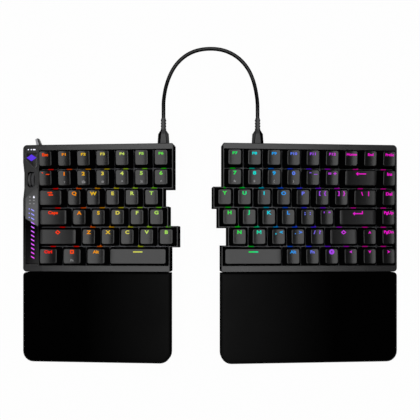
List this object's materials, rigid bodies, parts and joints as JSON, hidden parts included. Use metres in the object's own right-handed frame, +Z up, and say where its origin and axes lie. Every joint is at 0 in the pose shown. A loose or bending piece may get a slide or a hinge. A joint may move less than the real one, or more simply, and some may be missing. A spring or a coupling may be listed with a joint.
{
  "type": "split keyboard",
  "caption": "Tented ergonomic split keyboard with palm rests, a scroll wheel, flip-out feet and a short link cable between its halves",
  "frame": {"origin": "on the desk, under the middle of the keyboard without its link cable", "axes": "+X to the typist's right along both halves, +Y to the rear, +Z up"},
  "size_m": [0.3718, 0.3177, 0.0436],
  "materials": {
    "keycap_plastic": "satin double-shot keycap plastic",
    "case_plastic": "fine matt moulded plastic",
    "case_bottom_plastic": "matt moulded plastic",
    "switch_plate_metal": "grey painted steel plate",
    "board_resin": "solder-masked glass fibre",
    "damping_rubber": "silicone sheet",
    "switch_plastic": "moulded nylon",
    "palm_rest_cover": "soft black cover",
    "plug_plastic": "overmoulded plug",
    "foot_plastic": "moulded plastic with a rubber sole",
    "screw_steel": "blackened steel",
    "pad_rubber": "rubber pad",
    "battery_foil": "pouch cell foil",
    "panel_gloss": "dark gloss and satin cover",
    "light_lens": "clear light guide, lit",
    "port_steel": "drawn steel shell",
    "cable_rubber": "round rubber-sheathed cable",
    "wheel_rubber": "ribbed roller",
    "toggle_plastic": "metallised toggle"
  },
  "bodies": {
    "keyboard_halves": {"left_top_frame": "case_plastic", "right_top_frame": "case_plastic", "left_bottom_case": "case_bottom_plastic", "right_bottom_case": "case_bottom_plastic", "left_switch_plate": "switch_plate_metal", "right_switch_plate": "switch_plate_metal", "left_circuit_board": "board_resin", "right_circuit_board": "board_resin", "left_damping_sheet": "damping_rubber", "right_damping_sheet": "damping_rubber", "left_switch_housings": "switch_plastic", "right_switch_housings": "switch_plastic", "stabiliser_housings": "switch_plastic", "case_screws": "screw_steel", "case_rubber_pads": "pad_rubber", "battery": "battery_foil", "control_panel": "panel_gloss", "light_bar_lens": "light_lens", "indicator_lenses": "light_lens", "emblem_lens": "light_lens", "usb_c_receptacles": "port_steel", "left_link_plug": "plug_plastic", "right_link_plug": "plug_plastic", "link_cable": "cable_rubber"},
    "left_rear_tent_foot": {"left_rear_tent_foot": "foot_plastic"},
    "left_front_tent_foot": {"left_front_tent_foot": "foot_plastic"},
    "right_rear_tent_foot": {"right_rear_tent_foot": "foot_plastic"},
    "right_front_tent_foot": {"right_front_tent_foot": "foot_plastic"},
    "left_palm_rest": {"left_palm_rest_base": "case_bottom_plastic", "left_palm_rest_cushion": "palm_rest_cover"},
    "left_palm_tent_foot": {"left_palm_tent_foot": "foot_plastic"},
    "right_palm_rest": {"right_palm_rest_base": "case_bottom_plastic", "right_palm_rest_cushion": "palm_rest_cover"},
    "right_palm_tent_foot": {"right_palm_tent_foot": "foot_plastic"},
    "scroll_wheel": {"scroll_wheel": "wheel_rubber"},
    "mode_toggle": {"mode_toggle": "toggle_plastic"},
    "esc_key": {"esc_key": "keycap_plastic"},
    "left_function_keys": {"left_function_keys": "keycap_plastic"},
    "left_number_keys": {"left_number_keys": "keycap_plastic"},
    "tab_key": {"tab_key": "keycap_plastic"},
    "left_upper_letter_keys": {"left_upper_letter_keys": "keycap_plastic"},
    "caps_lock_key": {"caps_lock_key": "keycap_plastic"},
    "left_home_letter_keys": {"left_home_letter_keys": "keycap_plastic"},
    "left_shift_key": {"left_shift_key": "keycap_plastic"},
    "left_lower_letter_keys": {"left_lower_letter_keys": "keycap_plastic"},
    "left_modifier_keys": {"left_modifier_keys": "keycap_plastic"},
    "left_space_bar": {"left_space_bar": "keycap_plastic"},
    "right_function_keys": {"right_function_keys": "keycap_plastic"},
    "right_number_keys": {"right_number_keys": "keycap_plastic"},
    "backspace_key": {"backspace_key": "keycap_plastic"},
    "right_upper_letter_keys": {"right_upper_letter_keys": "keycap_plastic"},
    "backslash_key": {"backslash_key": "keycap_plastic"},
    "right_home_letter_keys": {"right_home_letter_keys": "keycap_plastic"},
    "enter_key": {"enter_key": "keycap_plastic"},
    "right_lower_letter_keys": {"right_lower_letter_keys": "keycap_plastic"},
    "right_shift_key": {"right_shift_key": "keycap_plastic"},
    "right_modifier_keys": {"right_modifier_keys": "keycap_plastic"},
    "right_space_bar": {"right_space_bar": "keycap_plastic"},
    "navigation_keys": {"navigation_keys": "keycap_plastic"},
    "arrow_keys": {"arrow_keys": "keycap_plastic"}
  },
  "joints": [
    {"name": "left_rear_tent_foot_fold", "type": "hinge", "parent": "keyboard_halves", "child": "left_rear_tent_foot", "pos_m": [-0.0506, 0.07048, 0.01401], "axis": [0, 1, 0], "range_deg": [0, 90]},
    {"name": "left_front_tent_foot_fold", "type": "hinge", "parent": "keyboard_halves", "child": "left_front_tent_foot", "pos_m": [-0.0506, 0.01333, 0.01401], "axis": [0, 1, 0], "range_deg": [0, 90]},
    {"name": "right_rear_tent_foot_fold", "type": "hinge", "parent": "keyboard_halves", "child": "right_rear_tent_foot", "pos_m": [0.02255, 0.07048, 0.01646], "axis": [0, -1, 0], "range_deg": [0, 90]},
    {"name": "right_front_tent_foot_fold", "type": "hinge", "parent": "keyboard_halves", "child": "right_front_tent_foot", "pos_m": [0.02255, 0.01333, 0.01646], "axis": [0, -1, 0], "range_deg": [0, 90]},
    {"name": "left_palm_rest_pull_off", "type": "slide", "parent": "keyboard_halves", "child": "left_palm_rest", "axis": [0, -1, 0], "range_m": [0, 0.03]},
    {"name": "left_palm_tent_foot_fold", "type": "hinge", "parent": "left_palm_rest", "child": "left_palm_tent_foot", "pos_m": [-0.0506, -0.06589, 0.01401], "axis": [0, 1, 0], "range_deg": [0, 90]},
    {"name": "right_palm_rest_pull_off", "type": "slide", "parent": "keyboard_halves", "child": "right_palm_rest", "axis": [0, -1, 0], "range_m": [0, 0.03]},
    {"name": "right_palm_tent_foot_fold", "type": "hinge", "parent": "right_palm_rest", "child": "right_palm_tent_foot", "pos_m": [0.02255, -0.06589, 0.01646], "axis": [0, -1, 0], "range_deg": [0, 90]},
    {"name": "scroll_wheel_turn", "type": "hinge", "parent": "keyboard_halves", "child": "scroll_wheel", "pos_m": [-0.17707, 0.07016, 0.01378], "axis": [0.9962, 0, 0.0872], "continuous": true},
    {"name": "mode_toggle_swing", "type": "hinge", "parent": "keyboard_halves", "child": "mode_toggle", "pos_m": [-0.17011, 0.10196, 0.01329], "axis": [-0.0872, 0, 0.9962], "range_deg": [-36, 0]},
    {"name": "esc_key_press", "type": "slide", "parent": "keyboard_halves", "child": "esc_key", "axis": [0.0872, 0, -0.9962], "range_m": [0, 0.0035], "stiffness_N_per_m": 48, "springref_m": -0.0075},
    {"name": "left_function_keys_press", "type": "slide", "parent": "keyboard_halves", "child": "left_function_keys", "axis": [0.0872, 0, -0.9962], "range_m": [0, 0.0035], "stiffness_N_per_m": 288, "springref_m": -0.0075},
    {"name": "left_number_keys_press", "type": "slide", "parent": "keyboard_halves", "child": "left_number_keys", "axis": [0.0872, 0, -0.9962], "range_m": [0, 0.0035], "stiffness_N_per_m": 336, "springref_m": -0.0075},
    {"name": "tab_key_press", "type": "slide", "parent": "keyboard_halves", "child": "tab_key", "axis": [0.0872, 0, -0.9962], "range_m": [0, 0.0035], "stiffness_N_per_m": 48, "springref_m": -0.0075},
    {"name": "left_upper_letter_keys_press", "type": "slide", "parent": "keyboard_halves", "child": "left_upper_letter_keys", "axis": [0.0872, 0, -0.9962], "range_m": [0, 0.0035], "stiffness_N_per_m": 240, "springref_m": -0.0075},
    {"name": "caps_lock_key_press", "type": "slide", "parent": "keyboard_halves", "child": "caps_lock_key", "axis": [0.0872, 0, -0.9962], "range_m": [0, 0.0035], "stiffness_N_per_m": 48, "springref_m": -0.0075},
    {"name": "left_home_letter_keys_press", "type": "slide", "parent": "keyboard_halves", "child": "left_home_letter_keys", "axis": [0.0872, 0, -0.9962], "range_m": [0, 0.0035], "stiffness_N_per_m": 240, "springref_m": -0.0075},
    {"name": "left_shift_key_press", "type": "slide", "parent": "keyboard_halves", "child": "left_shift_key", "axis": [0.0872, 0, -0.9962], "range_m": [0, 0.0035], "stiffness_N_per_m": 48, "springref_m": -0.0075},
    {"name": "left_lower_letter_keys_press", "type": "slide", "parent": "keyboard_halves", "child": "left_lower_letter_keys", "axis": [0.0872, 0, -0.9962], "range_m": [0, 0.0035], "stiffness_N_per_m": 240, "springref_m": -0.0075},
    {"name": "left_modifier_keys_press", "type": "slide", "parent": "keyboard_halves", "child": "left_modifier_keys", "axis": [0.0872, 0, -0.9962], "range_m": [0, 0.0035], "stiffness_N_per_m": 144, "springref_m": -0.0075},
    {"name": "left_space_bar_press", "type": "slide", "parent": "keyboard_halves", "child": "left_space_bar", "axis": [0.0872, 0, -0.9962], "range_m": [0, 0.0035], "stiffness_N_per_m": 48, "springref_m": -0.0075},
    {"name": "right_function_keys_press", "type": "slide", "parent": "keyboard_halves", "child": "right_function_keys", "axis": [-0.0872, 0, -0.9962], "range_m": [0, 0.0035], "stiffness_N_per_m": 288, "springref_m": -0.0075},
    {"name": "right_number_keys_press", "type": "slide", "parent": "keyboard_halves", "child": "right_number_keys", "axis": [-0.0872, 0, -0.9962], "range_m": [0, 0.0035], "stiffness_N_per_m": 288, "springref_m": -0.0075},
    {"name": "backspace_key_press", "type": "slide", "parent": "keyboard_halves", "child": "backspace_key", "axis": [-0.0872, 0, -0.9962], "range_m": [0, 0.0035], "stiffness_N_per_m": 48, "springref_m": -0.0075},
    {"name": "right_upper_letter_keys_press", "type": "slide", "parent": "keyboard_halves", "child": "right_upper_letter_keys", "axis": [-0.0872, 0, -0.9962], "range_m": [0, 0.0035], "stiffness_N_per_m": 336, "springref_m": -0.0075},
    {"name": "backslash_key_press", "type": "slide", "parent": "keyboard_halves", "child": "backslash_key", "axis": [-0.0872, 0, -0.9962], "range_m": [0, 0.0035], "stiffness_N_per_m": 48, "springref_m": -0.0075},
    {"name": "right_home_letter_keys_press", "type": "slide", "parent": "keyboard_halves", "child": "right_home_letter_keys", "axis": [-0.0872, 0, -0.9962], "range_m": [0, 0.0035], "stiffness_N_per_m": 288, "springref_m": -0.0075},
    {"name": "enter_key_press", "type": "slide", "parent": "keyboard_halves", "child": "enter_key", "axis": [-0.0872, 0, -0.9962], "range_m": [0, 0.0035], "stiffness_N_per_m": 48, "springref_m": -0.0075},
    {"name": "right_lower_letter_keys_press", "type": "slide", "parent": "keyboard_halves", "child": "right_lower_letter_keys", "axis": [-0.0872, 0, -0.9962], "range_m": [0, 0.0035], "stiffness_N_per_m": 240, "springref_m": -0.0075},
    {"name": "right_shift_key_press", "type": "slide", "parent": "keyboard_halves", "child": "right_shift_key", "axis": [-0.0872, 0, -0.9962], "range_m": [0, 0.0035], "stiffness_N_per_m": 48, "springref_m": -0.0075},
    {"name": "right_modifier_keys_press", "type": "slide", "parent": "keyboard_halves", "child": "right_modifier_keys", "axis": [-0.0872, 0, -0.9962], "range_m": [0, 0.0035], "stiffness_N_per_m": 144, "springref_m": -0.0075},
    {"name": "right_space_bar_press", "type": "slide", "parent": "keyboard_halves", "child": "right_space_bar", "axis": [-0.0872, 0, -0.9962], "range_m": [0, 0.0035], "stiffness_N_per_m": 48, "springref_m": -0.0075},
    {"name": "navigation_keys_press", "type": "slide", "parent": "keyboard_halves", "child": "navigation_keys", "axis": [-0.0872, 0, -0.9962], "range_m": [0, 0.0035], "stiffness_N_per_m": 336, "springref_m": -0.0075},
    {"name": "arrow_keys_press", "type": "slide", "parent": "keyboard_halves", "child": "arrow_keys", "axis": [-0.0872, 0, -0.9962], "range_m": [0, 0.0035], "stiffness_N_per_m": 192, "springref_m": -0.0075}
  ]
}
